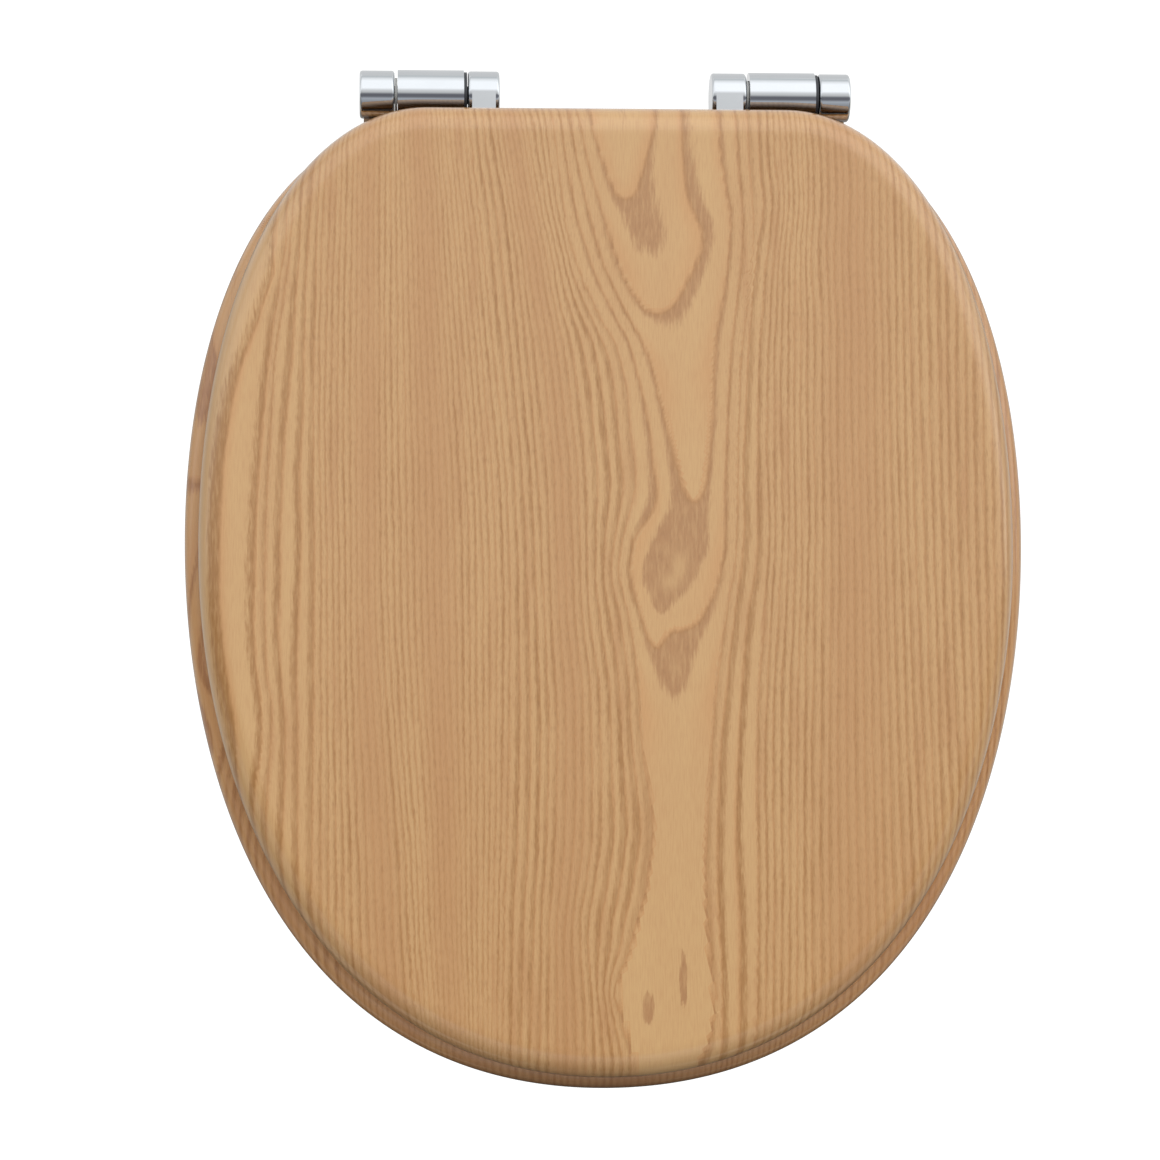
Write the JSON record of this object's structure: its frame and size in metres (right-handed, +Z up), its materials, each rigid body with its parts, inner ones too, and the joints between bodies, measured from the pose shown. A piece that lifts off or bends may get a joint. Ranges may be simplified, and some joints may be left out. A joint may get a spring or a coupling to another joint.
{
  "type": "toilet seat",
  "caption": "Wooden toilet seat with a flat lid over a ring with an egg-shaped opening, on chromed soft-close barrel hinges with studs for the bowl's fixing holes.",
  "frame": {"origin": "midway between the two fixing studs, on the plane of the bowl rim, which is the underside of the hinge feet's pads", "axes": "+X to the right along the hinge line, +Y to the back towards the hinges, +Z up out of the bowl rim; the front of the seat points along -Y"},
  "size_m": [0.378, 0.4582, 0.115],
  "materials": {
    "wood": "satin lacquered veneer with grain along the length",
    "chrome": "polished chrome plate",
    "collar_plastic": "dark grey moulded plastic",
    "nylon": "white nylon",
    "bumper_plastic": "soft off-white plastic",
    "nut_plastic": "white moulded plastic",
    "rubber": "black rubber",
    "zinc_steel": "bright zinc-plated steel"
  },
  "bodies": {
    "hinge_base": {"hinge_post_left": "chrome", "hinge_post_right": "chrome", "foot_pad_left": "rubber", "foot_pad_right": "rubber", "fixing_stud_left": "zinc_steel", "fixing_stud_right": "zinc_steel", "cone_washer_left": "rubber", "cone_washer_right": "rubber", "wing_nut_left": "nut_plastic", "wing_nut_right": "nut_plastic", "damper_left": "collar_plastic", "damper_right": "collar_plastic", "hinge_pin_left": "zinc_steel", "hinge_pin_right": "zinc_steel", "thrust_washer_left": "nylon", "thrust_washer_right": "nylon"},
    "seat": {"seat_ring": "wood", "seat_arm_left": "chrome", "seat_arm_right": "chrome", "seat_arm_screws": "zinc_steel", "seat_bumper_front_left": "bumper_plastic", "seat_bumper_front_right": "bumper_plastic", "seat_bumper_rear_left": "bumper_plastic", "seat_bumper_rear_right": "bumper_plastic", "damper_rotor_right": "collar_plastic"},
    "lid": {"lid": "wood", "lid_arm_left": "chrome", "lid_arm_right": "chrome", "lid_arm_screws": "zinc_steel", "lid_bumper_front_left": "bumper_plastic", "lid_bumper_front_right": "bumper_plastic", "lid_bumper_rear_left": "bumper_plastic", "lid_bumper_rear_right": "bumper_plastic", "damper_rotor_left": "collar_plastic"}
  },
  "joints": [
    {"name": "seat_hinge", "type": "hinge", "parent": "hinge_base", "child": "seat", "pos_m": [0, 0.014, 0.0222], "axis": [-1, 0, 0], "range_deg": [0, 95]},
    {"name": "lid_hinge", "type": "hinge", "parent": "seat", "child": "lid", "pos_m": [0, 0.014, 0.0222], "axis": [-1, 0, 0], "range_deg": [0, 100]}
  ]
}
